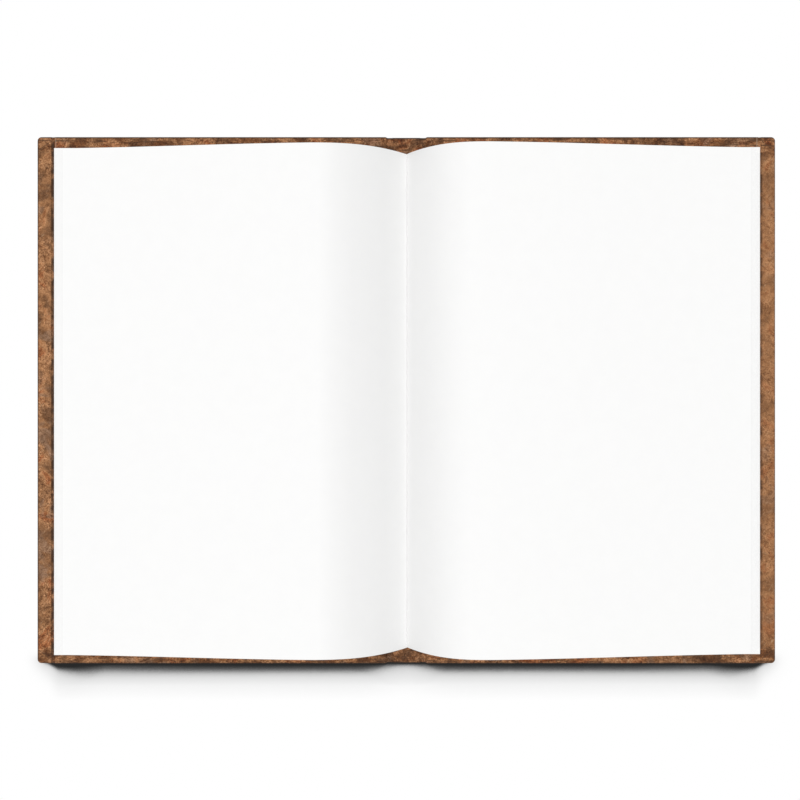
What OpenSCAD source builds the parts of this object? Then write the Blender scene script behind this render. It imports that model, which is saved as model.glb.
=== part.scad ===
// An open case-bound notebook with blank leaves, lying on its spread covers.
// +X runs to the right-hand page, +Y to the head of the leaves, +Z is up.
// The origin is under the gutter, on the surface that the covers lie on.
// The front cover is the one on the left, at -X.

/* [Leaves] */
// Height of the leaves from tail to head
leaf_h = 210; // [150:1:300]
// Distance of the lowest leaf's fore edge from the gutter
leaf_reach = 150.3; // [110:0.1:220]
// How far the fore edges fan out between the top leaf and the lowest one
fan_w = 7.7; // [2:0.1:15]
// Thickness of each half of the block at its fore edge
fore_t = 7.9; // [3:0.1:16]
// Thickness of paper and glue between the gutter and the block's back
gutter_t = 1.2; // [0.6:0.1:4]
// How far the front half's crest stands above its fore edge
front_swell = 6.05; // [2:0.05:12]
// How far the back half's crest stands above its fore edge
back_swell = 6.67; // [2:0.05:12]
// Distance of the front half's crest from the gutter
front_crest_x = 40; // [25:1:60]
// Distance of the back half's crest from the gutter
back_crest_x = 34; // [25:1:60]
// How sharply the front half curls into the gutter
front_curl = 2.65; // [1.5:0.05:4]
// How sharply the back half curls into the gutter
back_curl = 2.8; // [1.5:0.05:4]

/* [Case] */
// Thickness of the cover boards
board_t = 1.8; // [1.2:0.1:4]
// Thickness of the leather
leather_t = 0.5; // [0.3:0.05:0.9]
// Width of the card that stiffens the spine
spine_w = 11.4; // [6:0.1:40]
// Thickness of the card that stiffens the spine
spine_card_t = 0.8; // [0.4:0.1:1.5]
// Width of the joint between the spine card and each board
joint_w = 3.15; // [2.6:0.05:8]
// How far the covers stand out past the lowest leaf's fore edge
fore_square = 6.9; // [3:0.1:12]
// How far the covers stand out past the head of the leaves
head_square = 7.6; // [3:0.1:9]
// How far the covers stand out past the tail of the leaves
tail_square = 7.1; // [3:0.1:9]
// Radius of the covers' outer corners, seen from above
corner_r = 1.2; // [0.6:0.1:6]
// Width of the leather that is turned in over the boards' inner faces
turn_in_w = 15; // [12:0.5:25]
// Width of the line pressed into the fore-edge turn-in beside the leaves
line_w = 1.6; // [0.8:0.1:2.4]
// How much of that line's width lies under the lowest leaf
line_lap = 0.4; // [0:0.1:0.7]
// Depth of the pressed line
line_d = 0.25; // [0.1:0.05:0.25]

/* [Endpapers and lining] */
// Thickness of an endpaper, glued to its board or left free as a flyleaf
endpaper_t = 0.2; // [0.1:0.05:0.4]
// How far the endpapers reach past the head and the tail of the leaves
endpaper_reach = 2.8; // [0:0.1:3]
// How far each pastedown stays inside the edges of its flyleaf
paste_inset = 1; // [0.5:0.1:4]
// Thickness of the cloth that lines the back of the leaves
lining_t = 0.2; // [0.1:0.05:0.5]
// How far the lining stops short of the head and the tail of the leaves
lining_inset = 5; // [3:0.5:20]

/* [Clearances] */
// Gap between the spine leather and the rounded inner edge of a cover's leather
hinge_gap = 0.15; // [0.1:0.05:0.4]
// Gap between the block's back and the leather that drops into the joint
back_gap = 0.3; // [0.2:0.05:1]

/* [Hidden] */
$fn = 64;
// Stretches of straight line in each half's curved top
top_steps = 48;
// How far a cutting shape reaches past the face it cuts
cut = 1;

leather_colour = [0.58, 0.42, 0.28];
board_colour = [0.55, 0.52, 0.47];
paper_colour = [0.97, 0.97, 0.96];
lining_colour = [0.88, 0.86, 0.80];

// Heights, from the surface that the covers lie on
board_top = leather_t + board_t;
cover_t = board_top + leather_t;
bed_z = cover_t + 2 * endpaper_t;
spine_card_top = leather_t + spine_card_t;
spine_top = spine_card_top + leather_t;
back_z = spine_top + lining_t;
gutter_z = back_z + gutter_t;
fore_z = bed_z + fore_t;

// Distances from the gutter
board_x = spine_w / 2 + joint_w;
hinge_x = spine_w / 2 + joint_w / 2;
spine_leather_x = hinge_x - leather_t / 2 - hinge_gap;
joint_drop_x = board_x - leather_t;
back_x = joint_drop_x - back_gap;
cover_x = leaf_reach + fore_square;
field_x = cover_x - turn_in_w;
line_x = leaf_reach - line_lap;
top_reach = leaf_reach - fan_w;

// Distances from the middle of the covers' height, and where the middle of the leaves' height lies
cover_y = (leaf_h + head_square + tail_square) / 2;
field_y = cover_y - turn_in_w;
leaf_y = (tail_square - head_square) / 2;

// Distance of a flyleaf's head and tail from the middle of the leaves' height
flyleaf_y = leaf_h / 2 + endpaper_reach;

// Height of the top leaf at distance x from the gutter: it curls up to the crest, then falls away
function leaf_z(x, crest_x, crest_z, curl) =
    x < crest_x
    ? gutter_z + (crest_z - gutter_z) * (1 - pow(1 - x / crest_x, curl))
    : let (v = (x - crest_x) / (top_reach - crest_x))
      crest_z - (crest_z - fore_z) * (v + v * v * (3 - 2 * v)) / 2;

// Half of the block's section: its top from the gutter outwards, its fore edge and its underside
function half_section(crest_x, swell, curl) = concat(
    [for (i = [0:top_steps])
        let (x = top_reach * i / top_steps)
        [x, leaf_z(x, crest_x, fore_z + swell, curl)]],
    [[leaf_reach, bed_z], [back_x, bed_z], [back_x, back_z]]
);

// The same points across the gutter, in the opposite order and without the gutter itself
function across(points) = [for (i = [len(points) - 1:-1:1]) [-points[i][0], points[i][1]]];

// Places what is centred on the leaves' height, and not on the covers'
module on_leaves() {
    translate([0, leaf_y, 0]) children();
}

// A flat outline from x0 to x1 with its two outer corners rounded
module outline(x0, x1, half_y, r) {
    translate([x0, -half_y]) square([x1 - r - x0, 2 * half_y]);
    translate([x0, r - half_y]) square([x1 - x0, 2 * (half_y - r)]);
    for (side = [-1, 1])
        translate([x1 - r, side * (half_y - r)]) circle(r);
}

// A box given by its lowest X and Z, its size there and its half-length along Y
module bar(x0, z0, w, t, half_y) {
    translate([x0, -half_y, z0]) cube([w, 2 * half_y, t]);
}

module board() {
    inner_r = max(corner_r - leather_t, 0.05);
    color(board_colour)
        translate([0, 0, leather_t])
            linear_extrude(board_t)
                outline(board_x, cover_x - leather_t, cover_y - leather_t, inner_r);
}

// Leather of one cover: the outer sheet from the hinge line on, turned in over three edges of the
// board and doubled over itself in the joint
module cover_leather() {
    color(leather_colour)
        difference() {
            union() {
                linear_extrude(leather_t) outline(hinge_x, cover_x, cover_y, corner_r);
                translate([hinge_x, 0, leather_t / 2])
                    rotate([90, 0, 0])
                        cylinder(h = 2 * cover_y, r = leather_t / 2, center = true);
                linear_extrude(cover_t) outline(joint_drop_x, cover_x, cover_y, corner_r);
                bar(hinge_x, 0, board_x - hinge_x, 2 * leather_t, cover_y);
            }
            board();
            bar(hinge_x - cut, leather_t, field_x - hinge_x + cut, cover_t, field_y);
            bar(line_x, cover_t - line_d, line_w, line_d + cut, cover_y + cut);
        }
}

// Endpaper glued to a board: it steps down from the turn-ins to the board's bare field
module pastedown() {
    paste_x = leaf_reach - paste_inset;
    paste_y = flyleaf_y - paste_inset;
    color(paper_colour)
        difference() {
            on_leaves()
                bar(board_x, board_top, paste_x - board_x, leather_t + endpaper_t, paste_y);
            difference() {
                bar(board_x - cut, board_top - cut, paste_x - board_x + 2 * cut, leather_t + cut,
                    cover_y);
                bar(board_x - cut, board_top - cut, field_x - board_x + cut, cover_t, field_y);
            }
            bar(board_x - cut, board_top + endpaper_t, field_x - endpaper_t - board_x + cut,
                leather_t + cut, field_y - endpaper_t);
        }
}

// Free half of an endpaper, the lowest leaf under the block
module flyleaf() {
    color(paper_colour)
        on_leaves()
            bar(board_x, cover_t + endpaper_t, leaf_reach - board_x, endpaper_t, flyleaf_y);
}

// All the leaves with their glued back, as the book lies open
module page_block() {
    color(paper_colour)
        on_leaves()
            rotate([90, 0, 0])
                linear_extrude(height = leaf_h, center = true)
                    polygon(concat(
                        half_section(back_crest_x, back_swell, back_curl),
                        across(half_section(front_crest_x, front_swell, front_curl))
                    ));
}

// Cloth glued along the back of the leaves
module spine_lining() {
    color(lining_colour)
        on_leaves()
            bar(-back_x, spine_top, 2 * back_x, lining_t, leaf_h / 2 - lining_inset);
}

module spine_stiffener() {
    color(board_colour)
        bar(-spine_w / 2, leather_t, spine_w, spine_card_t, cover_y - leather_t);
}

// Leather of the spine between the two hinge lines, turned in over the card at head and tail
module spine_leather() {
    turned_x = spine_w / 2 + leather_t;
    color(leather_colour)
        difference() {
            union() {
                bar(-spine_leather_x, 0, 2 * spine_leather_x, 2 * leather_t, cover_y);
                bar(-turned_x, 0, 2 * turned_x, spine_top, cover_y);
            }
            spine_stiffener();
            bar(-cover_x, leather_t, 2 * cover_x, spine_top, field_y);
        }
}

// The front cover's pieces are the back cover's, mirrored across the gutter
module on_front() {
    mirror([1, 0, 0]) children();
}

page_block();
on_front() flyleaf();  // front_flyleaf
flyleaf();  // back_flyleaf
spine_lining();
spine_stiffener();
spine_leather();
on_front() board();  // front_board
on_front() cover_leather();  // front_cover_leather
on_front() pastedown();  // front_pastedown
board();  // back_board
cover_leather();  // back_cover_leather
pastedown();  // back_pastedown
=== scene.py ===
import math
import random

import bmesh
import bpy
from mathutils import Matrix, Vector


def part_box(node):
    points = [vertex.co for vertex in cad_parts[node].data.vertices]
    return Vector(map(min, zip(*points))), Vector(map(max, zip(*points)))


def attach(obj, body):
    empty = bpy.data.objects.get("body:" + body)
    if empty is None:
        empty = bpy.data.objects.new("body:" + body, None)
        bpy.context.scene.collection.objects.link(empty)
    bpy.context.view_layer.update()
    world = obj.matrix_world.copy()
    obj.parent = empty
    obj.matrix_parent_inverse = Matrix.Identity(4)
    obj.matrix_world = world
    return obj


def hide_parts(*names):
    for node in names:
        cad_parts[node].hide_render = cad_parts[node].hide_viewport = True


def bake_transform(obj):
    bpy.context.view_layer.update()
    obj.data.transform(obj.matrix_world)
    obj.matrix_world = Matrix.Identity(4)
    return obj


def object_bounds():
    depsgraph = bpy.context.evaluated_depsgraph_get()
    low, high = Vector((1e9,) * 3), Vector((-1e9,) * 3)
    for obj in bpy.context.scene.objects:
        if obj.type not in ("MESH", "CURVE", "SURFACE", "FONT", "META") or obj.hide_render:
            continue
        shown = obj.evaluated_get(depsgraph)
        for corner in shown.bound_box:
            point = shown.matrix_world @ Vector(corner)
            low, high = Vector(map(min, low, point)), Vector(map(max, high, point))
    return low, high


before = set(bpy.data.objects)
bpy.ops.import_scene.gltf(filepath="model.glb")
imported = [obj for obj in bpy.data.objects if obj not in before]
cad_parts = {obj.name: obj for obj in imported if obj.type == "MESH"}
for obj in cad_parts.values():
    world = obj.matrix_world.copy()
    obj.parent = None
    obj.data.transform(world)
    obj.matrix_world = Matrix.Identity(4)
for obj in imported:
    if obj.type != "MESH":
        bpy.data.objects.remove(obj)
cad_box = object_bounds()

# Leaves
# Blank sheets, folded and sewn in gatherings, then glued together along the back. The book lies
# open at its middle, so the leaves of each half stand up out of the glue, curl over a crest and
# fan out at the fore edge.
mm = 0.001
GATHERINGS = 6
LEAVES_IN_GATHERING = 10
PAPER_T = 0.1 * mm
ROOT_STEPS = 7
SPAN_STEPS = 76
FINE_STEPS = 3000
# Paper and glue between the gutter and the block's back, and each half's thickness at its fore edge
GUTTER_T = 1.2 * mm
FORE_EDGE_T = 7.9 * mm
# Spacing of the leaves inside a gathering, as a share of even spacing, and how far that is reached
GATHERED = 0.72
GATHERED_SHARE = 0.8
# How far single leaves stray: up or down, as a share of one leaf's place, and outwards and towards
# the head or the tail, in millimetres
LIFT_STRAY = 0.1
OUT_STRAY = 0.05
SLIDE_STRAY = 0.07

block_low, block_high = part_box("page_block")
flyleaf_low, flyleaf_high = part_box("back_flyleaf")
leaf_h = block_high.y - block_low.y
leaf_y = (block_high.y + block_low.y) / 2
leaf_reach = block_high.x
bed_z = flyleaf_high.z
gutter_z = block_low.z + GUTTER_T
fore_z = bed_z + FORE_EDGE_T
fan_w = 7.7 * mm
top_reach = leaf_reach - fan_w
glue_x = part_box("spine_lining")[1].x
root_z = block_low.z + 0.15 * mm
# How far the block sits to one side in its covers
aside = 0.3 * mm

random.seed(7)


def bent(start, corner, end, t):
    """Point on the curve that leaves start towards corner and comes into end from there."""
    return start.lerp(corner, t).lerp(corner.lerp(end, t), t)


def top_height(x, crest_x, swell, curl):
    """Height of the top leaf at distance x from the gutter, as the solid block has it."""
    if x < crest_x:
        return gutter_z + (fore_z + swell - gutter_z) * (1 - (1 - x / crest_x) ** curl)
    fall = (x - crest_x) / (top_reach - crest_x)
    return fore_z + swell - swell * (fall + fall**2 * (3 - 2 * fall)) / 2


def even_places(height, start, end, count):
    """Distances that cut the curve of height between start and end into equal lengths."""
    fine = [start + (end - start) * i / FINE_STEPS for i in range(FINE_STEPS + 1)]
    run = [0.0]
    for a, b in zip(fine, fine[1:]):
        run.append(run[-1] + math.hypot(b - a, height(b) - height(a)))
    places = []
    k = 0
    for i in range(1, count + 1):
        while k < FINE_STEPS and run[k] < run[-1] * i / count:
            k += 1
        places.append(fine[k])
    return places


def top_line(crest_x, swell, curl):
    """Line of the top leaf from its root in the glue to its fore edge."""

    def height(x):
        return top_height(x, crest_x, swell, curl)

    turn_x = 0.06 * mm
    root = Vector((0, root_z))
    over = Vector((turn_x, height(turn_x)))
    slope = (height(2 * turn_x) - height(turn_x)) / turn_x
    corner = Vector((root.x, over.y - slope * (over.x - root.x)))
    line = [bent(root, corner, over, i / ROOT_STEPS) for i in range(ROOT_STEPS + 1)]
    places = even_places(height, over.x, top_reach, SPAN_STEPS)
    return line + [Vector((x, height(x))) for x in places]


def bottom_line():
    """Line of the lowest leaf, which lies flat on the flyleaf."""
    root = Vector((glue_x - PAPER_T, root_z))
    over = Vector((glue_x + 0.4 * mm, bed_z))
    corner = Vector((root.x, bed_z))
    line = [bent(root, corner, over, i / ROOT_STEPS) for i in range(ROOT_STEPS + 1)]
    span = leaf_reach - over.x
    return line + [Vector((over.x + span * i / SPAN_STEPS, bed_z)) for i in range(1, SPAN_STEPS + 1)]


def leaf_half(name, crest_x, swell, curl, steps_out, slide_y, askew, side):
    """All the leaves of one half: thin closed sheets that share the line from root to fore edge."""
    top = top_line(crest_x, swell, curl)
    bottom = bottom_line()
    last = len(top) - 1
    count = GATHERINGS * LEAVES_IN_GATHERING
    bm = bmesh.new()
    for leaf in range(count):
        gathering, place = divmod(leaf, LEAVES_IN_GATHERING)
        even = (leaf + 1) / count
        from_fold = LEAVES_IN_GATHERING - 1 - place
        tight = (gathering + 1) / GATHERINGS - from_fold * GATHERED / count
        lift = random.uniform(-LIFT_STRAY, LIFT_STRAY) / count if leaf < count - 1 else 0
        out = steps_out[gathering] * mm + random.uniform(-OUT_STRAY, OUT_STRAY) * mm
        slide = slide_y + random.uniform(-SLIDE_STRAY, SLIDE_STRAY) * mm
        grid = bmesh.ops.create_grid(bm, x_segments=last, y_segments=1, size=0.5)
        for vert in grid["verts"]:
            step = round((vert.co.x + 0.5) * last)
            along = step / last
            loose = math.sin(math.pi * along**0.6)
            level = even + (tight - even) * GATHERED_SHARE * loose + lift * loose
            point = bottom[step].lerp(top[step], level)
            x = point.x + out * along**3
            y = leaf_y + slide + leaf_h * vert.co.y + side * askew * x
            vert.co = Vector((x, y, point.y))
    bmesh.ops.solidify(bm, geom=bm.faces[:], thickness=PAPER_T)
    if side < 0:
        bmesh.ops.scale(bm, vec=Vector((-1, 1, 1)), verts=bm.verts[:])
    bmesh.ops.translate(bm, vec=Vector((aside, 0, 0)), verts=bm.verts[:])
    bmesh.ops.recalc_face_normals(bm, faces=bm.faces[:])
    return finished(bm, name)


def finished(bm, name, sharp_deg=40):
    """Turns a bmesh into an object at the origin, smooth except at its sharp edges."""
    mesh = bpy.data.meshes.new(name)
    bm.to_mesh(mesh)
    bm.free()
    mesh.shade_smooth()
    mesh.set_sharp_from_angle(angle=math.radians(sharp_deg))
    made = bpy.data.objects.new(name, mesh)
    bpy.context.scene.collection.objects.link(made)
    return made


def glue_film():
    """Film of glue along the back, rippled where it sinks in between the gatherings' folds."""
    ripple = glue_x / GATHERINGS
    ripple_half = 0.04 * mm
    film_t = 0.25 * mm
    bm = bmesh.new()
    grid = bmesh.ops.create_grid(bm, x_segments=96, y_segments=1, size=0.5)
    for vert in grid["verts"]:
        x = vert.co.x * 2 * glue_x
        sink = ripple_half * (1 - math.cos(2 * math.pi * x / ripple))
        vert.co = Vector((x, leaf_y + vert.co.y * leaf_h, block_low.z + film_t + sink))
    bmesh.ops.solidify(bm, geom=bm.faces[:], thickness=film_t)
    bmesh.ops.recalc_face_normals(bm, faces=bm.faces[:])
    return finished(bm, "glue_film")


def add_node(material, kind, settings=None, **sockets):
    """Adds a shader node. A socket takes a number, a colour or another node's output."""
    node = material.node_tree.nodes.new("ShaderNode" + kind)
    for name, value in (settings or {}).items():
        setattr(node, name, value)
    for name, value in sockets.items():
        join(material, node.inputs[name], value)
    return node


def join(material, socket, value):
    """Links another node's output to a socket, or sets the socket to a constant."""
    if isinstance(value, bpy.types.NodeSocket):
        material.node_tree.links.new(value, socket)
    else:
        socket.default_value = value


def new_finish(name, roughness):
    """A new material whose one shader is ready for colour and bump."""
    material = bpy.data.materials.new(name)
    material.use_nodes = True
    shader = material.node_tree.nodes["Principled BSDF"]
    shader.inputs["Roughness"].default_value = roughness
    return material, shader


def in_mm(material, place=None, turn=0.0, stretch=(1, 1, 1)):
    """Places on the piece in millimetres, turned about Z and then squeezed along each axis."""
    place = place or add_node(material, "TexCoord").outputs["Object"]
    if turn:
        place = add_node(material, "Mapping", Vector=place, Rotation=(0, 0, turn)).outputs[0]
    scale = [1000 * s for s in stretch]
    return add_node(material, "Mapping", Vector=place, Scale=scale).outputs[0]


def clouds(material, place, size, detail=4.0, roughness=0.55, warp=0.0):
    """Cloudy pattern with blotches of about that size, in millimetres."""
    sockets = {"Vector": place, "Scale": 1 / size, "Detail": detail}
    sockets.update({"Roughness": roughness, "Distortion": warp})
    return add_node(material, "TexNoise", None, **sockets).outputs["Fac"]


def spread(material, value, low, high, new_low=0.0, new_high=1.0):
    """Stretches the range from low to high smoothly over a new one, and stops at its ends."""
    sockets = {"Value": value, "From Min": low, "From Max": high}
    sockets.update({"To Min": new_low, "To Max": new_high})
    settings = {"interpolation_type": "SMOOTHSTEP"}
    return add_node(material, "MapRange", settings, **sockets).outputs["Result"]


def sum_of(material, how, first, second):
    """One arithmetic step between two values."""
    node = add_node(material, "Math", {"operation": how})
    join(material, node.inputs[0], first)
    join(material, node.inputs[1], second)
    return node.outputs[0]


def tint(material, share, under, over, how="MIX"):
    """Lays one colour over another by that share."""
    node = add_node(material, "Mix", {"data_type": "RGBA", "blend_type": how})
    join(material, node.inputs[0], share)
    join(material, node.inputs[6], under)
    join(material, node.inputs[7], over)
    return node.outputs[2]


def ramp(material, value, stops):
    """Colours along a value, given as pairs of place and colour."""
    node = add_node(material, "ValToRGB", None, Fac=value)
    bands = node.color_ramp.elements
    while len(bands) < len(stops):
        bands.new(0.5)
    for band, (place, colour) in zip(bands, stops):
        band.position = place
        band.color = (*colour, 1)
    return node.outputs["Color"]


def rough_up(material, shader, height, depth_mm, strength=1.0):
    """Gives the surface relief of that depth."""
    sockets = {"Height": height, "Distance": depth_mm * mm, "Strength": strength}
    bump = add_node(material, "Bump", None, **sockets)
    join(material, shader.inputs["Normal"], bump.outputs["Normal"])


def paper(name, colour, shade, painted_shade=None):
    """Uncoated paper: fine felted fibres, with a faint cloudiness where they lie thicker."""
    material, shader = new_finish(name, 0.85)
    place = in_mm(material)
    cloudy = clouds(material, place, 6.0, 3.0)
    fibres = clouds(material, in_mm(material, None, 0.4, (1, 3, 1)), 0.25, 3.0, 0.6)
    mixed = sum_of(material, "ADD", cloudy, fibres)
    light = spread(material, mixed, 0.6, 1.4)
    darker = [c * shade for c in colour]
    colour = tint(material, light, (*darker, 1), (*colour, 1))
    # The optional last argument paints shade into the paper's colour
    if painted_shade:
        colour = painted_shade(material, place, colour)
    join(material, shader.inputs["Base Color"], colour)
    rough_up(material, shader, fibres, 0.01, 0.5)
    shader.inputs["Specular IOR Level"].default_value = 0.25
    return material


def painted_leaf_shade(material, place, colour):
    """Painted shade: a faint grey where the leaves bend into the gutter, and along their fanned fore
    edges.
    """
    across = add_node(material, "SeparateXYZ", None, Vector=place).outputs["X"]
    # Painted shade: greys that darken the leaves as they bend down into the gutter
    gutter = [(-36, 1.0), (-29, 0.955), (-22, 0.925), (-9, 0.92), (-3, 0.945), (-1, 0.97)]
    gutter += [(0.1, 1.0), (0.5, 1.0), (1.0, 0.91), (2, 0.90), (5, 0.92), (12, 0.945)]
    gutter += [(18, 0.97), (26, 1.0)]
    colour = tint(material, 1.0, colour, greys(material, across, -40, 40, gutter), "MULTIPLY")
    from_gutter = sum_of(material, "ABSOLUTE", across, 0)
    # Painted shade: greys along the fanned fore edges, darkest just past the top leaf's edge and beside
    # the leather
    fore_edge_shade = [(142.6, 1.0), (142.9, 0.945), (143.6, 0.965), (147, 0.97), (149, 0.955), (150.2, 0.94)]
    fore_edge_shade_greys = greys(material, from_gutter, 140, 152, fore_edge_shade)
    return tint(material, 1.0, colour, fore_edge_shade_greys, "MULTIPLY")


def greys(material, value, low, high, stops):
    """Greys along a value that runs from low to high, given as pairs of value and grey."""
    share = add_node(material, "MapRange", None, **{"Value": value, "From Min": low, "From Max": high})
    places = [((at - low) / (high - low), (grey, grey, grey)) for at, grey in stops]
    return ramp(material, share.outputs["Result"], places)


# The leaves' paper carries painted shade in the gutter and along the fore edges
leaf_paper = paper("leaf paper", (0.93, 0.93, 0.926), 0.985, painted_leaf_shade)
# Distance of each half's crest from the gutter, its height over the fore edge, and how sharply the
# leaves curl into the gutter
front_shape = (40 * mm, 6.05 * mm, 2.65)
back_shape = (34 * mm, 6.67 * mm, 2.8)
# How far out each gathering's fore edge stands, in millimetres
front_steps = (0.1, -0.1, 0.15, 0.0, -0.15, 0.0)
back_steps = (0.1, 0.0, -0.15, 0.2, -0.1, 0.0)
# How far each half slides towards the tail in its cover, and how far askew it lies, as a slope
front_slide = -0.15 * mm
front_askew = 0.0018
back_slide = 0.0
back_askew = 0.0
front_leaves = leaf_half("front_leaves", *front_shape, front_steps, front_slide, front_askew, -1)
back_leaves = leaf_half("back_leaves", *back_shape, back_steps, back_slide, back_askew, 1)
block_glue = glue_film()
for piece in (front_leaves, back_leaves):
    piece.data.materials.append(leaf_paper)

glue_material, glue_shader = new_finish("dried glue", 0.35)
glue_clouds = clouds(glue_material, in_mm(glue_material), 3.0)
glue_stops = [(0.35, (0.62, 0.56, 0.42)), (0.65, (0.74, 0.69, 0.56))]
join(glue_material, glue_shader.inputs["Base Color"], ramp(glue_material, glue_clouds, glue_stops))
rough_up(glue_material, glue_shader, glue_clouds, 0.08)
block_glue.data.materials.append(glue_material)

for piece in (front_leaves, back_leaves, block_glue):
    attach(piece, "text_block")
    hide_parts("page_block")

# Spine lining
# A strip of open-woven cotton, stiffened with size and glued over the back of the gatherings.
# It ends short of the head and the tail, and shows only where the covers are folded back.
THREAD_MM = 0.55
cloth, cloth_shader = new_finish("lining cloth", 0.9)
cloth_place = add_node(cloth, "SeparateXYZ", None, Vector=in_mm(cloth)).outputs
turns = 2 * math.pi / THREAD_MM
warp_threads = sum_of(cloth, "SINE", sum_of(cloth, "MULTIPLY", cloth_place["X"], turns), 0)
weft_threads = sum_of(cloth, "SINE", sum_of(cloth, "MULTIPLY", cloth_place["Y"], turns), 0)
crossing = sum_of(cloth, "MULTIPLY", warp_threads, weft_threads)
threads = spread(cloth, crossing, -0.9, 0.9)
cloth_colour = ramp(cloth, threads, [(0.2, (0.55, 0.52, 0.44)), (0.8, (0.80, 0.77, 0.68))])
join(cloth, cloth_shader.inputs["Base Color"], cloth_colour)
rough_up(cloth, cloth_shader, threads, 0.12)


def dress(node, material):
    """Gives a solid of the frame its finish."""
    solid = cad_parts[node]
    solid.data.materials.clear()
    solid.data.materials.append(material)


dress("spine_lining", cloth)

# Boards and spine card
# Cover boards of grey pulp board and a strip of thinner card in the spine, cut with a guillotine.
# Waste paper makes them, so darker and lighter flecks show in the grey.
greyboard, board_shader = new_finish("greyboard", 0.95)
board_place = in_mm(greyboard)
pulp = clouds(greyboard, board_place, 2.5, 5.0, 0.65)
flecks = clouds(greyboard, board_place, 0.5, 2.0)
board_colour = ramp(greyboard, pulp, [(0.3, (0.27, 0.245, 0.21)), (0.7, (0.36, 0.33, 0.285))])
dark_fleck = spread(greyboard, flecks, 0.66, 0.7)
board_colour = tint(greyboard, dark_fleck, board_colour, (0.16, 0.15, 0.14, 1))
join(greyboard, board_shader.inputs["Base Color"], board_colour)
rough_up(greyboard, board_shader, pulp, 0.06)
for node in ("front_board", "back_board", "spine_stiffener"):
    dress(node, greyboard)

# Leather
# One hide, waxed and rubbed back so that it is mottled tan, rust and grey-brown. It is glued over
# both boards and the spine card, sunk into the joints beside the spine, and turned in over the
# edges. A line is pressed into the fore-edge turn-in beside the leaves.
LEATHER_T = 0.5 * mm
# The sheet is a little thinner than the solid's leather
SHEET_T = LEATHER_T * 0.98
SAME_PLACE = 1e-6
cover_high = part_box("back_cover_leather")[1]
spine_half_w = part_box("spine_stiffener")[1].x
board_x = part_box("back_board")[0].x
cover_t = cover_high.z
spine_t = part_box("spine_leather")[1].z
turn_in_w = 15 * mm
field_x = cover_high.x - turn_in_w
field_y = cover_high.y - turn_in_w
corner_r = 1.7 * mm
edge_r = 0.5 * mm
# How far the turned leather stands proud at the fore edge, and how far it falls short at the head
proud = 0.22 * mm
short = 0.11 * mm
groove_z = 0.4 * mm
joint_top = 1.5 * mm
line_from = 149.9 * mm
line_to = 151.5 * mm
line_depth = 0.25 * mm
lip_h = 0.05 * mm
# Where the leather is creased across each corner: the direction square to the crease, and its
# distance from the book's middle in millimetres
CREASE_X = 0.586
CREASE_Y = 0.81
CREASE_AT = 178.2
# The dye's own even tan, what dirt, wear and scratches make of it, and painted shade and highlight at
# the rims, beside the leaves, in the pressed line and on its lip
EVEN_TAN = (0.325, 0.150, 0.062, 1)
FADED_BROWN = (0.27, 0.158, 0.095, 1)
PIT = (0.07, 0.03, 0.012, 1)
PALE_SCRATCH = (0.54, 0.36, 0.22, 1)
DARK_SCRATCH = (0.10, 0.045, 0.02, 1)
STAIN = (0.50, 0.40, 0.30, 1)
STRETCH_MARK = (0.08, 0.036, 0.015, 1)
SPINE_DARK_AND_END_SHADE = (0.52, 0.46, 0.42, 1)
PAINTED_RIM_SHADE = (0.035, 0.018, 0.010, 1)
CREASE_DIRT = (0.08, 0.04, 0.02, 1)
LINE_SHADE = (0.05, 0.022, 0.01, 1)
PAINTED_LIP_HIGHLIGHT = (0.60, 0.48, 0.36, 1)


def smooth(low, high, value):
    """Rises smoothly from 0 at low to 1 at high."""
    t = min(max((value - low) / (high - low), 0), 1)
    return t * t * (3 - 2 * t)


def leather_top(x):
    """Height of the turned-in leather at distance x from the middle of the spine."""
    down = smooth(spine_half_w - 0.2 * mm, spine_half_w + 0.8 * mm, x)
    up = smooth(board_x - 0.9 * mm, board_x + 0.1 * mm, x)
    height = spine_t + (joint_top - spine_t) * down
    height += (cover_t - joint_top) * up
    line = smooth(line_from, line_from + 0.3 * mm, x) - smooth(line_to - 0.3 * mm, line_to, x)
    lip = smooth(line_from - 0.5 * mm, line_from - 0.1 * mm, x)
    lip -= smooth(line_from - 0.1 * mm, line_from, x)
    return height - line_depth * line + lip_h * lip


def leather_bottom(x):
    """Height of the leather's outside, which sinks into the joint beside the spine."""
    middle = (spine_half_w + board_x) / 2
    half_w = 1.35 * mm
    return groove_z * math.cos(math.pi / 2 * min(abs(x - middle) / half_w, 1))


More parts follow.
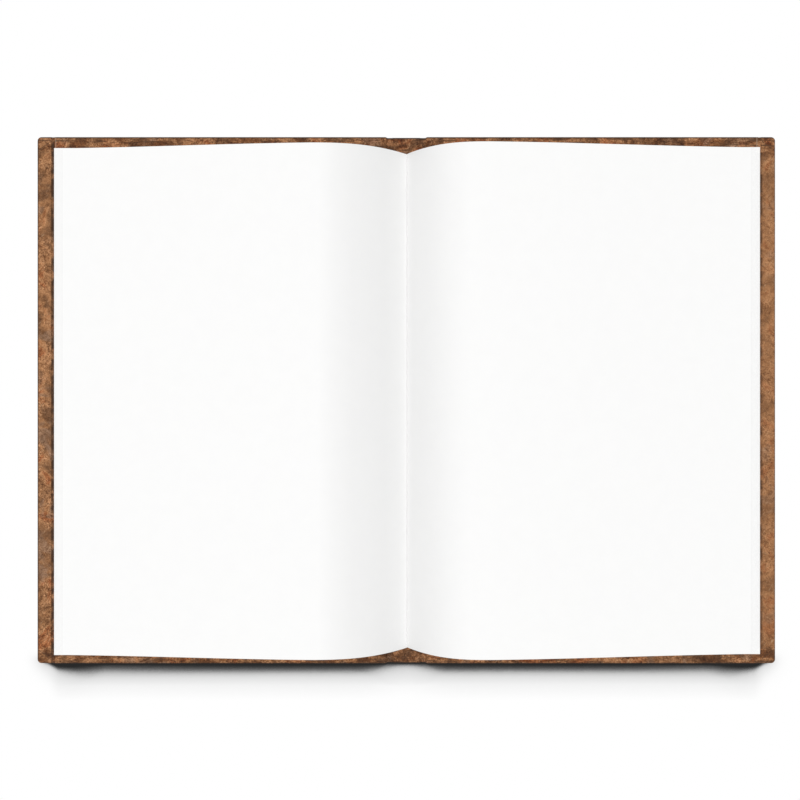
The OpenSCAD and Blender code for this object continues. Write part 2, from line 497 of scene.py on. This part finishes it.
def leather_half(name, side):
    """The hide of one cover with its joint and half of the spine, as one closed sheet."""
    bm = bmesh.new()
    bmesh.ops.create_cube(bm, size=1)
    for vert in bm.verts:
        vert.co.x = (vert.co.x + 0.5) * (cover_high.x + proud)
        vert.co.y = cover_high.y - short if vert.co.y > 0 else -cover_high.y
        vert.co.z = (vert.co.z + 0.5) * cover_t
    at_spine = [f for f in bm.faces if f.calc_center_median().x < SAME_PLACE]
    bmesh.ops.delete(bm, geom=at_spine, context="FACES")
    upright = [e for e in bm.edges if abs(e.verts[0].co.z - e.verts[1].co.z) > SAME_PLACE]
    corners = [e for e in upright if e.verts[0].co.x > cover_high.x / 2]
    bevel(bm, corners, corner_r, 5)
    rims = [e for e in bm.edges if not e.is_boundary and is_rim(e)]
    bevel(bm, rims, edge_r, 4)
    joint_step = 0.3 * mm
    line_step = 0.1 * mm
    open_step = 12 * mm
    stations = [spine_half_w + i * joint_step for i in range(-4, 15)]
    stations += [line_from + i * line_step for i in range(-5, 18)]
    stations += [open_step * i for i in range(1, 12)]
    stations += [field_x]
    for x in stations:
        cut(bm, (x, 0, 0), (1, 0, 0))
    for y in (-field_y, field_y):
        cut(bm, (0, y, 0), (0, 1, 0))
    inside = [f for f in bm.faces if is_field(f)]
    bmesh.ops.delete(bm, geom=inside, context="FACES")
    for vert in bm.verts:
        low = leather_bottom(vert.co.x)
        high = leather_top(vert.co.x)
        vert.co.z = low + (high - low) * vert.co.z / cover_t
    bmesh.ops.recalc_face_normals(bm, faces=bm.faces[:])
    bmesh.ops.solidify(bm, geom=bm.faces[:], thickness=SHEET_T)
    if side < 0:
        bmesh.ops.scale(bm, vec=Vector((-1, 1, 1)), verts=bm.verts[:])
        bmesh.ops.recalc_face_normals(bm, faces=bm.faces[:])
    made = finished(bm, name, 50)
    rest = made.data.attributes.new("rest_place", "FLOAT_VECTOR", "POINT")
    for vert, kept in zip(made.data.vertices, rest.data):
        kept.vector = vert.co
    return made


def bevel(bm, edges, width, segments):
    """Rounds edges to that width."""
    settings = {"offset_type": "OFFSET", "affect": "EDGES", "profile": 0.5, "material": -1}
    bmesh.ops.bevel(bm, geom=edges, offset=width, segments=segments, **settings)


def cut(bm, place, normal):
    """Adds a line of edges where a plane passes through the mesh."""
    geometry = bm.verts[:] + bm.edges[:] + bm.faces[:]
    bmesh.ops.bisect_plane(bm, geom=geometry, dist=1e-7, plane_co=place, plane_no=normal)


def is_rim(edge):
    """Whether an edge runs round the top or the bottom of the cover."""
    a, b = edge.verts
    flat = abs(a.co.z - b.co.z) < SAME_PLACE
    return flat and edge.calc_face_angle(0) > 1


def is_field(face):
    """Whether a face lies on top, where the board is bare between the turn-ins."""
    middle = face.calc_center_median()
    on_top = face.normal.z > 0.9 and middle.z > cover_t / 2
    return on_top and middle.x < field_x and abs(middle.y) < field_y


def hide():
    """Waxed leather: mottled dye under a fine grain, with creases and scuffs, and painted shade on its
    rims.
    """
    material, shader = new_finish("mottled leather", 0.55)
    kept = add_node(material, "Attribute", {"attribute_name": "rest_place"}).outputs["Vector"]
    place = in_mm(material, kept)
    parts = add_node(material, "SeparateXYZ", None, Vector=place).outputs
    from_spine = sum_of(material, "ABSOLUTE", parts["X"], 0)
    from_middle = sum_of(material, "ABSOLUTE", parts["Y"], 0)
    on_back = spread(material, parts["X"], -1.0, 1.0)
    colour = dye(material, place)
    near_end = spread(material, from_middle, 103.0, 107.0)
    calm = spread(material, on_back, 0.0, 1.0, 1.0, 0.6)
    restless = spread(material, clouds(material, place, 9.0, 3.0), 0.42, 0.58, 0.45, 1.0)
    restless = sum_of(material, "MULTIPLY", restless, calm)
    restless = sum_of(material, "MAXIMUM", restless, near_end)
    even = sum_of(material, "MULTIPLY", on_back, sum_of(material, "SUBTRACT", 0.45, near_end))
    colour = tint(material, even, colour, EVEN_TAN)
    colour, patches = mottle(material, place, restless, colour)
    colour = scratches(material, kept, near_end, colour)
    colour = painted_shade_and_marks(material, parts["Y"], on_back, from_spine, from_middle, colour)
    colour = pressed_line(material, place, parts["Y"], on_back, from_spine, colour)
    join(material, shader.inputs["Base Color"], colour)
    join(material, shader.inputs["Roughness"], spread(material, patches, 0.3, 0.7, 0.62, 0.45))
    shader.inputs["Specular IOR Level"].default_value = 0.15
    cells = add_node(material, "TexVoronoi", {"feature": "DISTANCE_TO_EDGE"}, Vector=place, Scale=1.5)
    grain_lines = spread(material, cells.outputs["Distance"], 0.0, 0.18)
    relief = sum_of(material, "ADD", grain_lines, sum_of(material, "MULTIPLY", patches, 1.5))
    rough_up(material, shader, relief, 0.08, 0.8)
    return material


def dye(material, place):
    """The broad changes of the dye, from brown through tan to rust."""
    tone = clouds(material, place, 9.0, 4.0, 0.55, 0.8)
    tones = [
        (0.37, (0.18, 0.082, 0.034)),
        (0.44, (0.27, 0.124, 0.050)),
        (0.50, (0.345, 0.160, 0.066)),
        (0.56, (0.43, 0.205, 0.088)),
        (0.64, (0.32, 0.110, 0.036)),
    ]
    faded = spread(material, clouds(material, place, 11.0, 2.0, 0.5, 0.5), 0.56, 0.64, 0.0, 0.6)
    return tint(material, faded, ramp(material, tone, tones), FADED_BROWN)


def mottle(material, place, restless, colour):
    """Darker and lighter patches and specks in the dye, strong in some places and weak in others."""
    patches = clouds(material, place, 2.2, 6.0, 0.68, 0.6)
    shades = [(0.36, (0.33, 0.24, 0.15)), (0.5, (1, 1, 1)), (0.64, (1.42, 1.5, 1.65))]
    share = sum_of(material, "MULTIPLY", sum_of(material, "ADD", restless, 0.6), 0.5)
    colour = tint(material, share, colour, ramp(material, patches, shades), "MULTIPLY")
    specks = clouds(material, place, 0.55, 4.0, 0.7)
    shades = [(0.37, (0.32, 0.24, 0.16)), (0.5, (1, 1, 1)), (0.63, (1.5, 1.62, 1.9))]
    share = sum_of(material, "MULTIPLY", restless, 0.95)
    colour = tint(material, share, colour, ramp(material, specks, shades), "MULTIPLY")
    pits = spread(material, clouds(material, place, 0.9, 2.0, 0.5, 1.2), 0.62, 0.70)
    pits = sum_of(material, "MULTIPLY", pits, restless)
    pits = sum_of(material, "MULTIPLY", pits, 0.8)
    return tint(material, pits, colour, PIT), patches


def scratches(material, kept, near_end, colour):
    """Pale and dark scratches across the hide, and stretch marks along the head and the tail."""
    pale_place = in_mm(material, kept, math.radians(38), (1.0, 0.16, 1.0))
    pale = spread(material, clouds(material, pale_place, 0.55, 3.0, 0.6), 0.60, 0.74, 0.0, 0.55)
    colour = tint(material, pale, colour, PALE_SCRATCH)
    dark_place = in_mm(material, kept, math.radians(-42), (1.0, 0.2, 1.0))
    dark = spread(material, clouds(material, dark_place, 0.5, 3.0, 0.6), 0.58, 0.70, 0.0, 0.6)
    colour = tint(material, dark, colour, DARK_SCRATCH)
    stain_place = in_mm(material, kept, 0.0, (0.5, 1.0, 1.0))
    stains = spread(material, clouds(material, stain_place, 3.6, 3.0, 0.55, 0.6), 0.46, 0.60)
    stains = sum_of(material, "MULTIPLY", stains, near_end)
    colour = tint(material, stains, colour, STAIN, "MULTIPLY")
    marks_place = in_mm(material, kept, 0.0, (0.09, 1.0, 1.0))
    marks = spread(material, clouds(material, marks_place, 0.8, 3.0, 0.6), 0.52, 0.64, 0.0, 0.8)
    marks = sum_of(material, "MULTIPLY", marks, near_end)
    return tint(material, marks, colour, STRETCH_MARK)


def painted_shade_and_marks(material, up, on_back, from_spine, from_middle, colour):
    """Painted shade round the rims and on the strips beside the leaves at the head and the tail,
    leather darker towards the spine, and grime along each corner's fold.
    """
    # Darker towards the spine, and painted shade on the strips beside the leaves at the head and the
    # tail
    by_spine = spread(material, from_spine, 5.0, 30.0, 0.38, 0.0)
    end_shade = spread(material, from_middle, 104.0, 108.0, 0.0, 0.15)
    spine_dark_and_end_shade = sum_of(material, "ADD", by_spine, end_shade)
    colour = tint(material, spine_dark_and_end_shade, colour, SPINE_DARK_AND_END_SHADE, "MULTIPLY")
    end_x = (cover_high.x + proud) / mm
    end_y = cover_high.y / mm
    # Painted shade along the rounded outer rims, stronger on the front cover and at the head than at
    # the tail
    rim_shade_x = spread(material, from_spine, end_x - 0.66, end_x - 0.46)
    rim_shade_x = sum_of(material, "MULTIPLY", rim_shade_x, spread(material, on_back, 0.0, 1.0, 1.0, 0.5))
    rim_shade_y = spread(material, from_middle, end_y - 0.95, end_y - 0.6)
    rim_shade_y = sum_of(material, "MULTIPLY", rim_shade_y, spread(material, up, -1.0, 1.0, 0.3, 0.75))
    rim_shade = sum_of(material, "MAXIMUM", rim_shade_x, rim_shade_y)
    colour = tint(material, rim_shade, colour, PAINTED_RIM_SHADE)
    fold = sum_of(material, "MULTIPLY", from_spine, CREASE_X)
    fold = sum_of(material, "ADD", fold, sum_of(material, "MULTIPLY", from_middle, CREASE_Y))
    off_fold = sum_of(material, "ABSOLUTE", sum_of(material, "SUBTRACT", fold, CREASE_AT), 0)
    crease = spread(material, off_fold, 0.05, 0.32, 0.6, 0.0)
    crease = sum_of(material, "MULTIPLY", crease, spread(material, from_spine, 151.4, 151.8))
    return tint(material, crease, colour, CREASE_DIRT)


def pressed_line(material, place, up, on_back, from_spine, colour):
    """The line beside the leaves, with painted shade in it that is strongest on the front cover, and
    the pale lip along it with a painted highlight.
    """
    start_mm = line_from / mm
    end_mm = line_to / mm
    # Painted shade in the pressed line, full on the front cover and fainter on the back, most of all
    # past the leaves
    shade_at = sum_of(material, "SUBTRACT", from_spine, sum_of(material, "MULTIPLY", on_back, 0.4))
    into_line = spread(material, shade_at, start_mm - 0.2, start_mm + 0.3)
    out_of_line = spread(material, shade_at, end_mm - 0.4, end_mm + 0.3, 1.0, 0.0)
    in_line = sum_of(material, "MULTIPLY", into_line, out_of_line)
    patchy = spread(material, clouds(material, place, 4.0, 4.0), 0.36, 0.6, 0.25, 1.0)
    past_leaves = spread(material, sum_of(material, "ABSOLUTE", up, 0), 104.5, 106.5)
    fainter = sum_of(material, "MULTIPLY", on_back, spread(material, past_leaves, 0.0, 1.0, 0.3, 0.9))
    share = sum_of(material, "MULTIPLY", patchy, sum_of(material, "SUBTRACT", 1.0, fainter))
    in_line = sum_of(material, "MULTIPLY", in_line, share)
    colour = tint(material, in_line, colour, LINE_SHADE)
    # Painted highlight on the lip beside the line, at the head only
    onto_lip = spread(material, from_spine, start_mm - 0.75, start_mm - 0.5)
    off_lip = spread(material, from_spine, start_mm - 0.35, start_mm - 0.15, 1.0, 0.0)
    lip = sum_of(material, "MULTIPLY", onto_lip, off_lip)
    lip = sum_of(material, "MULTIPLY", lip, spread(material, up, 104.0, 106.0, 0.0, 0.3))
    return tint(material, lip, colour, PAINTED_LIP_HIGHLIGHT)


leather = hide()
for side, cover in ((-1, "front_cover"), (1, "back_cover")):
    piece = leather_half(cover.replace("cover", "leather"), side)
    piece.data.materials.append(leather)
    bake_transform(piece)
    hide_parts(cover + "_leather", "spine_leather")

# Endpapers
# Two folded sheets of stouter paper. One half of each is glued down over the turn-ins and the
# board, the other half stays free under the leaves, and the fold lies along the joint.
ENDPAPER_T = 0.2 * mm
# How far a flyleaf reaches past the leaves at its fold, in millimetres, and how much more it does
# at its fore edge
FOLD_REACH = 2.2
MORE_REACH = 0.75
# Heights of the pastedown's edge in the bare field and over the turn-in, and of the flyleaf above
PASTED_Z = 2.4 * mm
OVER_TURN_IN = 0.5 * mm
BULGE = 0.4 * mm
end_paper = paper("endpaper", (0.92, 0.92, 0.91), 0.98)
for node in ("front_pastedown", "back_pastedown"):
    dress(node, end_paper)


def flyleaf_sheet(name, side, slide_y, askew):
    """The free half, a little taller at its fore edge than at the fold."""
    reach = leaf_reach + side * aside
    bm = bmesh.new()
    grid = bmesh.ops.create_grid(bm, x_segments=40, y_segments=30, size=0.5)
    for vert in grid["verts"]:
        t = vert.co.x + 0.5
        x = board_x + (reach - board_x) * t
        half_y = leaf_h / 2 + (FOLD_REACH + MORE_REACH * t) * mm
        y = leaf_y + slide_y + vert.co.y * 2 * half_y + side * askew * x
        vert.co = Vector((x, y, flyleaf_low.z))
    bmesh.ops.solidify(bm, geom=bm.faces[:], thickness=ENDPAPER_T)
    top = max(vert.co.z for vert in bm.verts)
    bmesh.ops.translate(bm, vec=Vector((0, 0, flyleaf_high.z - top)), verts=bm.verts[:])
    if side < 0:
        bmesh.ops.scale(bm, vec=Vector((-1, 1, 1)), verts=bm.verts[:])
    bmesh.ops.recalc_face_normals(bm, faces=bm.faces[:])
    return finished(bm, name)


front_sheet = flyleaf_sheet("front_flyleaf_sheet", -1, front_slide, front_askew)
back_sheet = flyleaf_sheet("back_flyleaf_sheet", 1, back_slide, back_askew)
for piece in (front_sheet, back_sheet):
    piece.data.materials.append(end_paper)
    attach(piece, "text_block")
    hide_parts(piece.name.replace("_sheet", ""))


def endpaper_fold(name, side):
    """Strip round the fold, from the flyleaf's edge down to the pastedown's edge."""
    free_z = (flyleaf_low.z + flyleaf_high.z) / 2
    paste_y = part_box("back_pastedown")[1].y - leaf_y
    bm = bmesh.new()
    grid = bmesh.ops.create_grid(bm, x_segments=14, y_segments=70, size=0.5)
    for vert in grid["verts"]:
        t = vert.co.x + 0.5
        y = leaf_y + vert.co.y * 2 * paste_y
        over_turn_in = smooth(field_y - 0.4 * mm, field_y + 0.2 * mm, abs(y))
        glued_z = PASTED_Z + OVER_TURN_IN * over_turn_in
        bulge = BULGE * math.sin(math.pi * t) ** 0.5
        z = free_z + (glued_z - free_z) * smooth(0.2, 0.8, t)
        vert.co = Vector((board_x - bulge, y, z))
    bmesh.ops.recalc_face_normals(bm, faces=bm.faces[:])
    bmesh.ops.solidify(bm, geom=bm.faces[:], thickness=ENDPAPER_T * 0.5)
    if side < 0:
        bmesh.ops.scale(bm, vec=Vector((-1, 1, 1)), verts=bm.verts[:])
    bmesh.ops.recalc_face_normals(bm, faces=bm.faces[:])
    return finished(bm, name)


for side, cover in ((-1, "front_cover"), (1, "back_cover")):
    piece = endpaper_fold(cover.replace("cover", "endpaper_fold"), side)
    piece.data.materials.append(end_paper)
    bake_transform(piece)

# Floor, light and camera
# A clear floor over white surroundings. Its soft shadow at the tail comes from how much of the sky
# towards the head the book hides. It is open under the book, so folded-down covers can be seen.
FLOOR_HALF = 1.5
SHADOW_REACH = 18 * mm
LIGHT_TILT = math.radians(60)
OCCLUSION_SAMPLES = 64
WORLD_LEVEL = 0.42
UNDER_EDGE = 1 * mm
floor_mesh = bmesh.new()
bmesh.ops.create_grid(floor_mesh, x_segments=1, y_segments=1, size=FLOOR_HALF)
hole = Vector((cad_box[1][0] - UNDER_EDGE, cad_box[1][1] - UNDER_EDGE, 0))
shadow_end = hole + Vector((SHADOW_REACH, SHADOW_REACH, 0))
for side in (-1, 1):
    cut(floor_mesh, (side * hole.x, 0, 0), (1, 0, 0))
    cut(floor_mesh, (side * shadow_end.x, 0, 0), (1, 0, 0))
    cut(floor_mesh, (0, side * hole.y, 0), (0, 1, 0))
cut(floor_mesh, (0, -shadow_end.y, 0), (0, 1, 0))
cut(floor_mesh, (0, 0, 0), (0, 1, 0))
middles = {f: f.calc_center_median() for f in floor_mesh.faces}
for face, middle in middles.items():
    lit = abs(middle.x) > shadow_end.x or middle.y < -shadow_end.y or middle.y > 0
    face.material_index = int(lit)
under_book = [f for f, m in middles.items() if abs(m.x) < hole.x and abs(m.y) < hole.y]
bmesh.ops.delete(floor_mesh, geom=under_book, context="FACES")
floor = finished(floor_mesh, "floor")


def clear_floor(name):
    """A floor that shows the white surroundings through it, and its one shader."""
    material = bpy.data.materials.new(name)
    material.use_nodes = True
    nodes = material.node_tree.nodes
    nodes.remove(nodes["Principled BSDF"])
    clear = add_node(material, "BsdfTransparent", None, Color=(1, 1, 1, 1))
    join(material, nodes["Material Output"].inputs["Surface"], clear.outputs[0])
    return material, clear


floor_material, floor_shader = clear_floor("shaded floor")


def open_sky(tilt):
    """How open the floor is to a broad light that leans by tilt towards the head of the book."""
    parts = {"Y": math.sin(tilt), "Z": math.cos(tilt)}
    towards = add_node(floor_material, "CombineXYZ", None, **parts).outputs[0]
    sockets = {"Normal": towards, "Distance": SHADOW_REACH}
    settings = {"samples": OCCLUSION_SAMPLES}
    return add_node(floor_material, "AmbientOcclusion", settings, **sockets).outputs["AO"]


def sharper_ends():
    """Painted shadow strength by place on the floor: the leaves make most of the shadow, so it is made
    strong up to their fore edges and weak past them.
    """
    place = add_node(floor_material, "SeparateXYZ", None, Vector=in_mm(floor_material)).outputs
    out = sum_of(floor_material, "ABSOLUTE", place["X"], 0)
    # Painted shadow shaping, set by distance across the floor rather than by the book
    strong = spread(floor_material, out, 128.0, 147.0, 1.0, 1.25)
    weak = spread(floor_material, out, 149.0, 155.0, 1.0, 0.58)
    return sum_of(floor_material, "MULTIPLY", strong, weak)


from_head = sum_of(floor_material, "SUBTRACT", open_sky(-LIGHT_TILT), open_sky(LIGHT_TILT))
shaded = sum_of(floor_material, "MULTIPLY", from_head, sharper_ends())
shadow_stops = [(0.04, 1.0), (0.09, 0.92), (0.13, 0.86), (0.24, 0.75), (0.293, 0.64)]
shadow_stops += [(0.337, 0.45), (0.364, 0.24), (0.39, 0.13), (0.43, 0.06), (0.46, 0.023)]
darkness = ramp(floor_material, shaded, [(place, (v, v, v)) for place, v in shadow_stops])
join(floor_material, floor_shader.inputs["Color"], darkness)
floor.data.materials.append(floor_material)
floor.data.materials.append(clear_floor("lit floor")[0])

world = bpy.data.worlds.new("studio")
bpy.context.scene.world = world
world.use_nodes = True
backdrop = world.node_tree.nodes["Background"]
backdrop.inputs["Color"].default_value = (1, 1, 1, 1)
ray = add_node(world, "LightPath").outputs
mirrored = sum_of(world, "MAXIMUM", ray["Is Glossy Ray"], ray["Is Transmission Ray"])
white = sum_of(world, "MAXIMUM", ray["Is Camera Ray"], mirrored)
join(world, backdrop.inputs["Strength"], spread(world, white, 0.0, 1.0, WORLD_LEVEL, 1.0))


def soft_box(name, towards, distance, size, power):
    """A square lamp that looks at the origin from that direction."""
    lamp = bpy.data.lights.new(name, "AREA")
    lamp.shape = "SQUARE"
    lamp.size = size
    lamp.energy = power
    made = bpy.data.objects.new(name, lamp)
    made.location = Vector(towards).normalized() * distance
    made.rotation_euler = Vector(towards).to_track_quat("Z", "Y").to_euler()
    bpy.context.scene.collection.objects.link(made)


KEY_TOWARDS = (-0.06, -0.03, 1)
KEY_DISTANCE = 4.0
KEY_SIZE = 1.6
KEY_POWER = 105
soft_box("key", KEY_TOWARDS, KEY_DISTANCE, KEY_SIZE, KEY_POWER)

LENS_MM = 31.365
SENSOR_MM = 36
CAMERA_ASIDE = -2.7 * mm
CAMERA_HEIGHT = 0.3
camera_data = bpy.data.cameras.new("camera")
camera_data.lens = LENS_MM
camera_data.sensor_width = SENSOR_MM
camera = bpy.data.objects.new("camera", camera_data)
camera.location = (CAMERA_ASIDE, 0, CAMERA_HEIGHT)
bpy.context.scene.collection.objects.link(camera)
bpy.context.scene.camera = camera
bpy.context.scene.view_settings.view_transform = "Standard"
